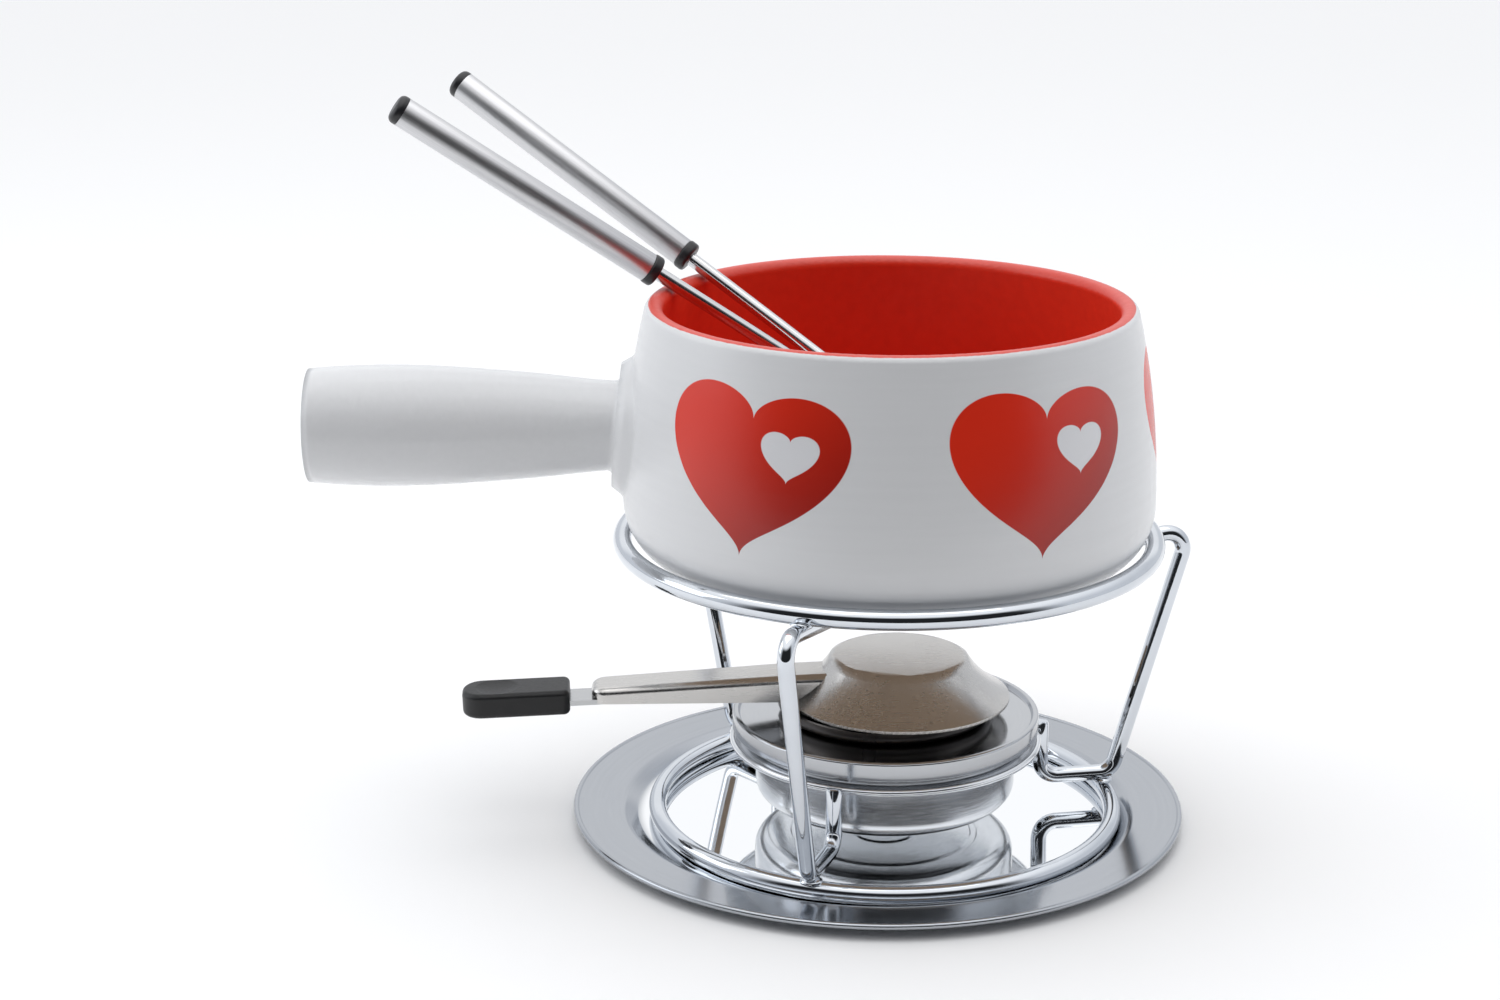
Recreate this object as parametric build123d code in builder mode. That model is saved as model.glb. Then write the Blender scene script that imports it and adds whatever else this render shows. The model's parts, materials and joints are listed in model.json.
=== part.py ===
"""Fondue pot set: tray, wire stand, paste burner with regulator and snuffer lid,
ceramic pot with a hollow handle, and two forks.

Millimetres, +Z up. The origin is on the tray's flat underside, at the foot of the one
vertical axis that stand, burner and pot share. The pot's handle points along -X.
"""

from build123d import *
from math import asin, cos, degrees, hypot, radians, sin, tan
import os

os.makedirs("parts", exist_ok=True)

# ---- clearances ----------------------------------------------------------------
rest_gap = 0.3          # between pieces that lift, turn or draw apart
weld_bite = 0.4         # depth of the saddle where one wire is welded on another

# ---- tray ----------------------------------------------------------------------
tray_radius = 105.0
tray_sheet = 1.0
well_depth = 3.2        # mirror floor below the flange
flange_rise = 0.9       # the flange climbs this much towards its edge
tray_bead = 1.0         # radius of the rolled edge
tray_shift = (-2.6, 0.9)    # the stand isn't set down quite in the middle of the tray

# ---- stand ---------------------------------------------------------------------
base_ring_radius = 78.5
base_wire = 3.0         # radius of the foot ring's wire
pot_ring_height = 100.6
pot_wire = 3.3          # radius of the pot ring's wire
leg_wire = 2.75         # radius of the legs' wire
leg_bend = 6.0
leg_azimuths = {"leg_front": -110.0, "leg_right": 10.0, "leg_back": 130.0}
finger_slope = 9.6      # degrees, the pot fingers fall towards the middle
finger_length = 26.5    # from the pot ring's centreline to the finger's end
foot_reach = 3.0        # the leg's lower corner stands this far outside the foot ring
hook_height = 0.8       # the burner hooks rise this far above the burner's rim

# ---- pot -----------------------------------------------------------------------
pot_radius = 89.0
pot_height = 86.3
mouth_taper = 8.1       # the rim is this much smaller than the belly, outside
pot_wall = 6.5
pot_corner = 20.0       # outside radius where wall meets base
rim_round = 2.9
ring_margin = 0.4       # the pot ring's centreline lies this far outside the pot
handle_height = 44.2    # handle axis above the pot's base
handle_length = 104.3   # from the belly to the handle's end
# handle radius at distances out from the belly
handle_swell = ((0.0, 14.8), (7.0, 15.2), (24.0, 17.0), (41.0, 18.5), (58.0, 19.7), (83.0, 20.2))
handle_tip_radius = 19.4
handle_wall = 5.5
handle_root = 11.0      # the handle is solid this far out from the belly
handle_vent = 2.0       # radius of the hole that lets the hollow handle breathe
collar_radius = 20.9    # soft collar where the handle joins the wall
collar_stand = 3.0      # it stands this far out from the wall
collar_slope = 57.0     # degrees between the collar's flank and the wall
collar_crown = 3.0      # radius where the flank turns into the collar's face
collar_flare = 2.4      # radius where the flank runs into the wall
neck_round = 1.8        # radius where the collar's face meets the handle

# ---- burner --------------------------------------------------------------------
burner_floor = 8.0      # underside of the bowl above the table
bowl_radius = 44.5
bowl_depth = 20.0       # from the underside of the bowl to the underside of its flange
burner_sheet = 0.9
rim_radius = 53.5       # rolled rim that the hooks carry
rim_bead = 1.25
collar_foot = 50.2
collar_wall = 52.5
collar_top = 9.1        # mirror ring above the bowl's flange
neck_radius = 22.9
lip_radius = 25.2       # keeps the regulator on its neck
cup_radius = 38.0
cup_height = 21.5
cup_sheet = 0.5
cup_bead = 0.9
screen_sheet = 0.8
screen_rings = {13.0: 12, 19.5: 18, 26.0: 24}   # pitch radius: number of holes
screen_hole = 1.4
lighting_hole = 7.0     # radius of the opening in the middle, for lighting the paste
port_radius = 3.0       # air ports
port_pitch = 29.5
port_count = 6

# ---- regulator, grip and lid ---------------------------------------------------
lever_azimuth = 183.0
dish_radius = 37.0
dish_sheet = 1.2
dish_height = 4.7
arm_width = 12.0
arm_sheet = 1.8
arm_slope = 2.0         # degrees, the arm falls towards the grip
arm_climb = 6.6         # the arm steps up this much to clear the dish's edge
arm_end = 126.0
rivet_radius = 1.5
grip_start = 108.0
grip_length = 36.5
grip_width = 16.8
grip_depth = 8.7
lid_radius = 38.0
lid_top_radius = 22.8
lid_shift = 4.4         # the bell sits this far back from the lever
lid_height = 15.0
lid_sheet = 0.9
lid_hollow = 1.3        # how far the flank curves in below a straight cone
channel_end = 100.6
channel_inner_width = 17.0
channel_outer_width = 14.7
channel_edge = 1.2      # the channel's open edge stands this far above the lid's rim
channel_fall = 3.7      # its roof is this much lower at the outer end
channel_depth = 5.2     # at the outer end
channel_corner = 5.0    # radius of its outer corners, seen from above

# ---- forks ---------------------------------------------------------------------
fork_azimuths = {"fork_1": 165.2, "fork_2": 146.0}     # where each rod crosses the rim
fork_headings = {"fork_1": 9.0, "fork_2": -17.4}       # which way its prongs point
fork_reach = 147.5      # from the rim to the tips of the prongs
rod_radius = 2.4
tube_radius = 5.0
tube_wall = 0.5
tube_length = 96.5
ferrule_radius = 5.3
ferrule_length = 3.6
ferrule_start = 3.1     # from the rim crossing to the ferrule's face
spigot_length = 9.0     # ferrule and cap reach this far into the tube
cap_length = 3.2
head_width = 11.0
head_length = 27.0
head_sheet = 1.8
prong_width = 2.2
prong_length = 17.0

# ---- heights and radii that follow ---------------------------------------------
well_radius = base_ring_radius + base_wire + 1.3
base_ring_height = tray_sheet + rest_gap + base_wire
foot_height = base_ring_height + base_wire + leg_wire - weld_bite
foot_radius = base_ring_radius + foot_reach
pot_ring_radius = pot_radius + ring_margin
finger_rise = tan(radians(finger_slope))
finger_height = pot_ring_height - (pot_wire + leg_wire - weld_bite) / cos(radians(finger_slope))
flange_height = burner_floor + bowl_depth
rim_centre_height = flange_height + 0.45
rim_bottom = rim_centre_height - rim_bead
rim_top = rim_centre_height + rim_bead
hook_radius = rim_radius + 0.5 + 1.6
corner_height = (
    finger_height
    + (pot_radius - pot_corner - pot_ring_radius) * finger_rise
    + (pot_corner + leg_wire + rest_gap) / cos(radians(finger_slope))
)
pot_base = corner_height - pot_corner
pot_top = pot_base + pot_height
pot_floor = pot_base + pot_wall
mouth_radius = pot_radius - mouth_taper
handle_end = pot_radius + handle_length
wall_bow = ((pot_height - pot_corner) ** 2 + mouth_taper ** 2) / (2 * mouth_taper)
wall_lean = asin((handle_height - pot_corner) / wall_bow)
wall_at_handle = pot_radius - wall_bow * (1 - cos(wall_lean))
handle_stations = [(pot_radius + out, radius) for out, radius in handle_swell]
handle_z = pot_base + handle_height
flange_top = flange_height + burner_sheet
collar_top_height = flange_top + collar_top
dish_floor = collar_top_height + rest_gap
dish_top = dish_floor + dish_height
lid_rim = dish_top + rest_gap
lid_top = lid_rim + lid_height


def radial_plane(azimuth):
    """Upright plane through the axis: local x runs outwards, local y runs up."""
    a = radians(azimuth)
    return Plane(origin=(0, 0, 0), x_dir=(cos(a), sin(a), 0), z_dir=(sin(a), -cos(a), 0))


def save(piece, name):
    """Label a finished piece and write it as a STEP file of the same name."""
    piece.label = name
    export_step(piece, f"parts/{name}.step")
    print(f"{name}: {len(piece.solids())} solid(s), {piece.volume:.0f} mm3")


# ---- tray ----------------------------------------------------------------------
tray_middle = Vector(*tray_shift, 0)

with BuildPart() as tray:
    with BuildSketch(Plane(origin=tray_middle, x_dir=(1, 0, 0), z_dir=(0, -1, 0))):
        with BuildLine():
            FilletPolyline(
                (0, 0),
                (well_radius, 0),
                (well_radius + 5.2, well_depth),
                (tray_radius - tray_bead, well_depth + flange_rise),
                radius=[2.5, 4.0],
            )
            offset(amount=tray_sheet, side=Side.LEFT, closed=True)
        make_face()
        with Locations((tray_radius - tray_bead, well_depth + flange_rise + tray_sheet / 2)):
            Circle(tray_bead)
    revolve(axis=Axis(tray_middle, (0, 0, 1)))
save(tray.part, "tray")


# ---- stand ---------------------------------------------------------------------
with BuildPart() as base_ring:
    with Locations((0, 0, base_ring_height)):
        Torus(base_ring_radius, base_wire)
save(base_ring.part, "base_ring")

with BuildPart() as pot_ring:
    with Locations((0, 0, pot_ring_height)):
        Torus(pot_ring_radius, pot_wire)
save(pot_ring.part, "pot_ring")


def make_leg(azimuth):
    """One wire: pot finger, hook round the pot ring, leg, foot run and burner hook."""
    knee_radius = hook_radius
    lean = (pot_ring_radius + 13.9 - foot_radius) / (pot_ring_height - 14.5 - foot_height)
    top_radius = (
        foot_radius + (finger_height - foot_height - pot_ring_radius * finger_rise) * lean
    ) / (1 - finger_rise * lean)
    top_height = finger_height + (top_radius - pot_ring_radius) * finger_rise
    with BuildPart() as leg:
        with BuildLine(radial_plane(azimuth)) as wire:
            FilletPolyline(
                (pot_ring_radius - finger_length, finger_height - finger_length * finger_rise),
                (top_radius, top_height),
                (foot_radius, foot_height),
                (knee_radius, foot_height),
                (knee_radius, rim_top + hook_height),
                radius=[leg_bend, leg_bend, leg_bend],
            )
        with BuildSketch(Plane(origin=wire.line @ 0, z_dir=wire.line % 0)):
            Circle(leg_wire)
        sweep()
        # smooth the finger's free end
        finger_tip = leg.faces().filter_by(GeomType.PLANE).sort_by(Axis.Z)[-1]
        fillet(finger_tip.edges(), leg_wire * 0.4)
        # rebate that the burner's rolled rim sits in, with a sloping cut above it
        with BuildSketch(radial_plane(azimuth)):
            with BuildLine():
                Polyline(
                    (knee_radius - 2 * leg_wire, rim_bottom - rest_gap),
                    (rim_radius + 0.5, rim_bottom - rest_gap),
                    (rim_radius + 0.5, rim_top - 0.2),
                    (knee_radius + 2 * leg_wire, rim_top + 3.2),
                    (knee_radius - 2 * leg_wire, rim_top + 3.2),
                    close=True,
                )
            make_face()
        extrude(amount=2 * leg_wire, both=True, mode=Mode.SUBTRACT)
        # saddles where the wire is welded to the two rings
        add(base_ring.part, mode=Mode.SUBTRACT)
        add(pot_ring.part, mode=Mode.SUBTRACT)
    return leg.part


for leg_name, leg_azimuth in leg_azimuths.items():
    save(make_leg(leg_azimuth), leg_name)


# ---- pot -----------------------------------------------------------------------
def pot_outline(inset, base, corner):
    """Half outline of the pot's outside, or of its inside when inset by the wall."""
    belly = pot_radius - inset
    with BuildLine() as outline:
        floor_line = Line((0, base), (belly - corner, base))
        corner_arc = CenterArc((belly - corner, base + corner), corner, -90, 90)
        wall_arc = TangentArc(corner_arc @ 1, (mouth_radius - inset, pot_top), tangent=(0, 1))
        top_line = Line(wall_arc @ 1, (0, pot_top))
        Line(top_line @ 1, floor_line @ 0)
    return outline


handle_plane = Plane(origin=(0, 0, handle_z), x_dir=(-1, 0, 0), z_dir=(0, 1, 0))
# the collar follows the wall's lean; local x is square to the wall
collar_way = (-cos(wall_lean), 0, sin(wall_lean))
collar_plane = Plane(origin=(-wall_at_handle, 0, handle_z), x_dir=collar_way, z_dir=(0, 1, 0))
handle_axis = Axis((0, 0, handle_z), (-1, 0, 0))

with BuildPart() as pot:
    with BuildSketch(Plane.XZ):
        add(pot_outline(0, pot_base, pot_corner))
        make_face()
    revolve(axis=Axis.Z)
    # soft collar, turned about a line square to the wall
    collar_depth = pot_wall + 2.0
    collar_spread = (collar_stand + collar_depth) / tan(radians(collar_slope))
    with BuildSketch(collar_plane) as collar_half:
        with BuildLine():
            Polyline(
                (-collar_depth, 0),
                (-collar_depth, collar_radius + collar_spread),
                (collar_stand, collar_radius),
                (collar_stand, 0),
                close=True,
            )
        make_face()
        crown = Vertex(*collar_plane.from_local_coords((collar_stand, collar_radius, 0)))
        fillet(collar_half.vertices().sort_by_distance(crown)[0], collar_crown)
    revolve(axis=Axis(collar_plane.origin, collar_plane.x_dir))
    flare_edges = pot.edges(Select.LAST).filter_by(GeomType.CIRCLE, reverse=True)
    flare_edges = flare_edges.filter_by(lambda e: e.length > 2 * collar_radius)
    fillet(flare_edges, collar_flare)
    # handle, turned about its own level axis
    with BuildSketch(handle_plane) as handle_half:
        with BuildLine():
            grip_curve = Spline(*handle_stations, (handle_end - 5, handle_tip_radius))
            Polyline(
                grip_curve @ 1,
                (handle_end, handle_tip_radius - 0.4),
                (handle_end, 0),
                (handle_stations[0][0] - 4, 0),
                (handle_stations[0][0] - 4, handle_stations[0][1]),
                grip_curve @ 0,
            )
        make_face()
        tip_corner = handle_half.vertices().group_by(Axis.X)[0].sort_by(Axis.Z)[-1]
        fillet(tip_corner, 4.0)
    revolve(axis=handle_axis)
    neck_edges = pot.edges(Select.LAST).filter_by(
        lambda e: abs(e.center().X + wall_at_handle + collar_stand) < 3 and e.length > 2 * handle_stations[0][1]
    )
    fillet(neck_edges, neck_round)
    # the hollow that food goes in
    with BuildSketch(Plane.XZ):
        add(pot_outline(pot_wall, pot_floor, pot_corner - 4.0))
        make_face()
    revolve(axis=Axis.Z, mode=Mode.SUBTRACT)
    rim_edges = pot.edges().group_by(Axis.Z)[-1]
    fillet(rim_edges, rim_round)
    # the hollow handle and its vent
    with BuildSketch(handle_plane):
        with BuildLine():
            Polyline(
                (pot_radius + handle_root, 0),
                (pot_radius + handle_root, handle_stations[1][1] - handle_wall),
                (handle_end - 26, handle_stations[-1][1] - handle_wall),
                (handle_end - 6, handle_stations[-1][1] - handle_wall),
                (handle_end - 6, handle_vent),
                (handle_end + 1, handle_vent),
                (handle_end + 1, 0),
                close=True,
            )
        make_face()
    revolve(axis=handle_axis, mode=Mode.SUBTRACT)
save(pot.part, "pot")


# ---- burner --------------------------------------------------------------------
with BuildPart() as burner_bowl:
    with BuildSketch(Plane.XZ):
        with BuildLine():
            FilletPolyline(
                (0, burner_floor),
                (bowl_radius, burner_floor),
                (bowl_radius, flange_height),
                (rim_radius - rim_bead, flange_height),
                radius=[6.0, 1.6],
            )
            offset(amount=burner_sheet, side=Side.LEFT, closed=True)
        make_face()
        with Locations((rim_radius - rim_bead, rim_centre_height)):
            Circle(rim_bead)
    revolve(axis=Axis.Z)
    # two shallow rings pressed into the underside
    for groove_radius in (12.0, 31.0):
        with Locations((0, 0, burner_floor - 0.5)):
            Torus(groove_radius, 0.9, mode=Mode.SUBTRACT)
save(burner_bowl.part, "burner_bowl")

with BuildPart() as burner_collar:
    with BuildSketch(Plane.XZ):
        with BuildLine():
            FilletPolyline(
                (collar_foot, flange_top),
                (collar_foot, flange_top + 3.1),
                (collar_wall, flange_top + 3.1),
                (collar_wall, collar_top_height + 0.6),
                (collar_wall - 1.9, collar_top_height + 0.6),
                (collar_wall - 2.6, collar_top_height),
                (neck_radius, collar_top_height),
                (neck_radius, dish_floor + dish_sheet + rest_gap),
                (lip_radius, dish_floor + dish_sheet + rest_gap),
                radius=[0.3, 0.9, 0.8, 0.3, 0.3, 0.3, 0.3],
            )
            offset(amount=0.8, side=Side.LEFT, closed=True)
        make_face()
    revolve(axis=Axis.Z)
    with Locations(Plane.XY.offset(collar_top_height)):
        with PolarLocations(port_pitch, port_count, start_angle=lever_azimuth + 30):
            Hole(port_radius, depth=5 * burner_sheet)
save(burner_collar.part, "burner_collar")

with BuildPart() as paste_cup:
    cup_floor = burner_floor + burner_sheet
    with BuildSketch(Plane.XZ):
        with BuildLine():
            FilletPolyline(
                (0, cup_floor),
                (cup_radius, cup_floor),
                (cup_radius, cup_floor + cup_height),
                radius=[4.0],
            )
            offset(amount=cup_sheet, side=Side.LEFT, closed=True)
        make_face()
        with Locations((cup_radius - cup_sheet / 2, cup_floor + cup_height)):
            Circle(cup_bead)
    revolve(axis=Axis.Z)
save(paste_cup.part, "paste_cup")

with BuildPart() as flame_screen:
    screen_bottom = burner_floor + burner_sheet + cup_height + cup_bead
    with BuildSketch(Plane.XY.offset(screen_bottom)):
        Circle(cup_radius + cup_bead)
        Circle(lighting_hole, mode=Mode.SUBTRACT)
        for pitch, holes in screen_rings.items():
            with PolarLocations(pitch, holes):
                Circle(screen_hole, mode=Mode.SUBTRACT)
    extrude(amount=screen_sheet)
save(flame_screen.part, "flame_screen")


# ---- regulator -----------------------------------------------------------------
lever_plane = radial_plane(lever_azimuth)
rivet_spots = [(port_pitch - 0.9, -3.4), (port_pitch - 0.9, 3.4)]
# plan plane turned so that local x runs out along the lever
lever_plan = Plane(
    origin=(0, 0, 0),
    x_dir=(cos(radians(lever_azimuth)), sin(radians(lever_azimuth)), 0),
    z_dir=(0, 0, 1),
)

with BuildPart() as regulator_dish:
    with BuildSketch(Plane.XZ):
        with BuildLine():
            FilletPolyline(
                (neck_radius + rest_gap, dish_floor),
                (dish_radius, dish_floor),
                (dish_radius, dish_top),
                radius=[3.6],
            )
            offset(amount=dish_sheet, side=Side.LEFT, closed=True)
        make_face()
    revolve(axis=Axis.Z)
    with Locations(Plane.XY.offset(dish_floor + dish_sheet)):
        with PolarLocations(port_pitch, port_count, start_angle=lever_azimuth + 30):
            Hole(port_radius, depth=3 * dish_sheet)
    with Locations(lever_plan.offset(dish_floor + dish_sheet)):
        with Locations(*rivet_spots):
            Hole(rivet_radius, depth=3 * dish_sheet)
save(regulator_dish.part, "regulator_dish")

arm_seat = dish_floor + dish_sheet
arm_top_start = arm_seat + arm_climb
arm_fall = tan(radians(arm_slope))

with BuildPart() as regulator_arm:
    with BuildSketch(lever_plane):
        with BuildLine():
            FilletPolyline(
                (lip_radius + 1.1, arm_seat),
                (dish_radius - 5.0, arm_seat),
                (dish_radius - 0.4, arm_top_start),
                (arm_end, arm_top_start - (arm_end - dish_radius + 0.4) * arm_fall),
                radius=[1.5, 3.0],
            )
            offset(amount=arm_sheet, side=Side.LEFT, closed=True)
        make_face()
    extrude(amount=arm_width / 2, both=True)
    with Locations(lever_plan.offset(arm_seat + arm_sheet)):
        with Locations(*rivet_spots):
            Hole(rivet_radius, depth=2 * arm_sheet)
save(regulator_arm.part, "regulator_arm")

with BuildPart() as arm_rivets:
    with BuildSketch(lever_plan.offset(dish_floor)):
        with Locations(*rivet_spots):
            Circle(rivet_radius)
    extrude(amount=dish_sheet + arm_sheet)
    with BuildSketch(lever_plan.offset(arm_seat + arm_sheet)):
        with Locations(*rivet_spots):
            Circle(rivet_radius + 0.7)
    extrude(amount=1.0)
    fillet(arm_rivets.edges().group_by(Axis.Z)[-1], 0.6)
save(arm_rivets.part, "arm_rivets")


def arm_middle(distance):
    """Height of the arm's middle at a distance from the burner's axis."""
    return arm_top_start + arm_sheet / 2 - (distance - dish_radius + 0.4) * arm_fall


lever_dir = Vector(cos(radians(lever_azimuth)), sin(radians(lever_azimuth)), 0)
grip_dir = lever_dir * cos(radians(arm_slope)) - Vector(0, 0, sin(radians(arm_slope)))
side_dir = Vector(0, 0, 1).cross(lever_dir)
grip_plane = Plane(
    origin=lever_dir * grip_start + Vector(0, 0, arm_middle(grip_start) + 0.9),
    x_dir=side_dir,
    z_dir=grip_dir,
)

with BuildPart() as lever_grip:
    with BuildSketch(grip_plane):
        Rectangle(grip_width, grip_depth)
    extrude(amount=grip_length)
    # round the far end in plan, then soften every edge
    upright = lever_grip.edges().filter_by(
        lambda e: e.length < grip_depth + 0.5 and abs((e % 0).dot(lever_dir)) < 0.2
        and abs((e % 0).Z) > 0.9
    )
    far_corners = upright.sort_by(lambda e: e.center().dot(lever_dir))[-2:]
    near_corners = upright.sort_by(lambda e: e.center().dot(lever_dir))[:2]
    fillet(far_corners, grip_width * 0.42)
    fillet(near_corners, 2.4)
    fillet(lever_grip.faces().sort_by(Axis.Z)[-1].edges(), 1.8)
    fillet(lever_grip.faces().sort_by(Axis.Z)[0].edges(), 1.8)
    # thumb hollow near the end
    dimple_ball = 26.0
    dimple_spot = grip_plane.from_local_coords((0, 0, grip_length - 11.0))
    dimple_up = Vector(0, 0, 1) * (grip_depth / 2 + dimple_ball - 1.1)
    with Locations(dimple_spot + dimple_up):
        Sphere(dimple_ball, mode=Mode.SUBTRACT)
    add(regulator_arm.part, mode=Mode.SUBTRACT)
save(lever_grip.part, "lever_grip")


# ---- snuffer lid ---------------------------------------------------------------
def bell_outline(inset, drop):
    """Half outline of the bell: rim, hollow flank and flat top."""
    foot = (lid_radius - inset, lid_rim - drop)
    shoulder = (lid_radius - inset, lid_rim + 0.9)
    brow = (lid_top_radius + 0.9 - inset, lid_top - 0.7 - inset)
    middle = (
        (shoulder[0] + brow[0]) / 2 - lid_hollow * 0.76,
        (shoulder[1] + brow[1]) / 2 - lid_hollow * 0.65,
    )
    with BuildLine() as outline:
        Polyline((0, lid_rim - drop), foot, shoulder)
        ThreePointArc(shoulder, middle, brow)
        Polyline(
            brow,
            (lid_top_radius - 0.6 - inset, lid_top - inset),
            (0, lid_top - inset),
            (0, lid_rim - drop),
        )
    return outline


lid_seat = lever_dir * -lid_shift
bell_plane = Plane(origin=lid_seat, x_dir=(1, 0, 0), z_dir=(0, -1, 0))
bell_axis = Axis(lid_seat, (0, 0, 1))


def channel_block(inset, low, inner_end, roof_inset):
    """The channel handle as a solid: side view and plan view pulled through each other."""
    roof_out = lid_rim + channel_edge + channel_depth - roof_inset
    roof_in = roof_out + channel_fall
    outer = channel_end - inset
    with BuildPart() as block:
        with BuildSketch(lever_plane):
            with BuildLine():
                Polyline(
                    (inner_end, low),
                    (outer, low),
                    (outer, roof_out),
                    (lid_radius - 5, roof_in),
                    (inner_end, roof_in + 0.6),
                    close=True,
                )
            make_face()
        extrude(amount=channel_inner_width, both=True)
        with BuildSketch(lever_plan.offset(low - 1)):
            with BuildLine():
                Polyline(
                    (inner_end - 1, -channel_inner_width / 2 + inset),
                    (lid_radius, -channel_inner_width / 2 + inset),
                    (outer + 0.01, -channel_outer_width / 2 + inset),
                    (outer + 0.01, channel_outer_width / 2 - inset),
                    (lid_radius, channel_inner_width / 2 - inset),
                    (inner_end - 1, channel_inner_width / 2 - inset),
                    close=True,
                )
            make_face()
        extrude(amount=60, mode=Mode.INTERSECT)
        end_face = block.faces().sort_by(lambda f: f.center().dot(lever_dir))[-1]
        corners = end_face.edges().filter_by(lambda e: abs((e % 0).Z) > 0.9)
        fillet(corners, channel_corner - inset)
        top_face = block.faces().filter_by(lambda f: f.normal_at().Z > 0.9).sort_by(SortBy.AREA)[-1]
        root_edge = top_face.edges().sort_by(lambda e: e.center().dot(lever_dir))[0]
        fillet(ShapeList(e for e in top_face.edges() if not e.is_same(root_edge)), 2.6 - roof_inset)
    return block.part


with BuildPart() as snuffer_lid:
    with BuildSketch(bell_plane):
        add(bell_outline(0, 0))
        make_face()
    revolve(axis=bell_axis)
    add(channel_block(0, lid_rim + channel_edge, 14.0, 0))
    with BuildPart(mode=Mode.PRIVATE) as lid_inside:
        with BuildSketch(bell_plane):
            add(bell_outline(lid_sheet, 3.0))
            make_face()
        revolve(axis=bell_axis)
        add(channel_block(lid_sheet, lid_rim - 3.0, 14.0, lid_sheet))
    add(lid_inside.part, mode=Mode.SUBTRACT)
    # the channel's end wall stops above the arm
    with BuildSketch(lever_plane):
        with BuildLine():
            Polyline(
                (channel_end - 6, lid_rim - 2),
                (channel_end + 2, lid_rim - 2),
                (channel_end + 2, arm_middle(channel_end) + arm_sheet / 2 + 0.6),
                (channel_end - 6, arm_middle(channel_end - 6) + arm_sheet / 2 + 0.6),
                close=True,
            )
        make_face()
    extrude(amount=arm_width / 2 + 0.34, both=True, mode=Mode.SUBTRACT)
save(snuffer_lid.part, "snuffer_lid")


# ---- forks ---------------------------------------------------------------------
crest_radius = mouth_radius - pot_wall / 2
crossing_height = pot_top - rim_round + (rim_round + rod_radius + rest_gap) / cos(radians(33.7))
tip_height = pot_floor + rest_gap + head_sheet / 2 * cos(radians(33.7)) + 0.1
fork_pitch = degrees(asin((crossing_height - tip_height) / fork_reach))


def fork_plane(name):
    """Plane square to a fork's axis where the rod crosses the rim; z runs out to the cap."""
    azimuth = radians(fork_azimuths[name])
    heading = radians(fork_headings[name])
    pitch = radians(fork_pitch)
    crossing = (crest_radius * cos(azimuth), crest_radius * sin(azimuth), crossing_height)
    outwards = (-cos(heading) * cos(pitch), -sin(heading) * cos(pitch), sin(pitch))
    return Plane(origin=crossing, x_dir=(-sin(heading), cos(heading), 0), z_dir=outwards)


def make_rod(plane):
    """Round rod with a flattened head of three pointed prongs."""
    head_start = -fork_reach + head_length
    half = head_width / 2
    pitch = (head_width - prong_width) / 2
    prong_root = -fork_reach + prong_length
    flat = Plane(origin=plane.origin, x_dir=plane.x_dir, z_dir=plane.y_dir * -1)
    with BuildPart() as rod:
        with BuildSketch(plane.offset(head_start - 4)):
            Circle(rod_radius)
        extrude(amount=ferrule_start + ferrule_length + spigot_length - head_start + 4)
        with BuildSketch(flat):
            with BuildLine():
                Polyline(
                    (-rod_radius * 0.9, head_start),
                    (-half, prong_root + 3.5),
                    (-half, prong_root),
                    (half, prong_root),
                    (half, prong_root + 3.5),
                    (rod_radius * 0.9, head_start),
                    close=True,
                )
            make_face()
            for side in (-1, 0, 1):
                with BuildLine():
                    Polyline(
                        (side * pitch - prong_width / 2, prong_root + 0.5),
                        (side * pitch - prong_width / 2, -fork_reach + 3.0),
                        (side * pitch, -fork_reach),
                        (side * pitch + prong_width / 2, -fork_reach + 3.0),
                        (side * pitch + prong_width / 2, prong_root + 0.5),
                        close=True,
                    )
                make_face()
        extrude(amount=head_sheet / 2, both=True)
    return rod.part


for fork_name in fork_azimuths:
    axis_plane = fork_plane(fork_name)
    tube_start = ferrule_start + ferrule_length
    tube_end = tube_start + tube_length

    save(make_rod(axis_plane), f"{fork_name}_rod")

    with BuildPart() as ferrule:
        with BuildSketch(axis_plane.offset(ferrule_start)):
            Circle(ferrule_radius)
        extrude(amount=ferrule_length)
        fillet(ferrule.edges(), 0.7)
        with BuildSketch(axis_plane.offset(tube_start)):
            Circle(tube_radius - tube_wall)
        extrude(amount=spigot_length)
        with BuildSketch(axis_plane.offset(ferrule_start)):
            Circle(rod_radius)
        extrude(amount=ferrule_length + spigot_length, mode=Mode.SUBTRACT)
    save(ferrule.part, f"{fork_name}_ferrule")

    with BuildPart() as tube:
        with BuildSketch(axis_plane.offset(tube_start)):
            Circle(tube_radius)
            Circle(tube_radius - tube_wall, mode=Mode.SUBTRACT)
        extrude(amount=tube_length)
    save(tube.part, f"{fork_name}_tube")

    with BuildPart() as cap:
        with BuildSketch(axis_plane.offset(tube_end - spigot_length)):
            Circle(tube_radius - tube_wall)
        extrude(amount=spigot_length)
        with BuildSketch(axis_plane.offset(tube_end)):
            Circle(tube_radius)
        extrude(amount=cap_length)
        fillet(cap.faces().sort_by(Axis.Z)[-1].edges(), 2.2)
    save(cap.part, f"{fork_name}_cap")

print(f"pot base {pot_base:.2f}, pot top {pot_top:.2f}, lid top {lid_top:.2f}, fork pitch {fork_pitch:.2f}")
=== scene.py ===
# %% [markdown]
# # A fondue pot set
#
# The set has a mirror tray, a plated wire stand, a paste burner with a turning regulator and a
# snuffer lid, a glazed pot with a hollow handle, and two forks. The CAD part is the fixed frame:
# every piece below sits where the CAD says and moves with one of its bodies. Lengths are written
# in millimetres, as on a drawing, and turned into metres where a mesh is made.

# %% Load the part
import json
from math import cos, pi, radians, sin, tan

import bmesh
import bpy
from mathutils import Matrix, Vector, noise


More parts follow.
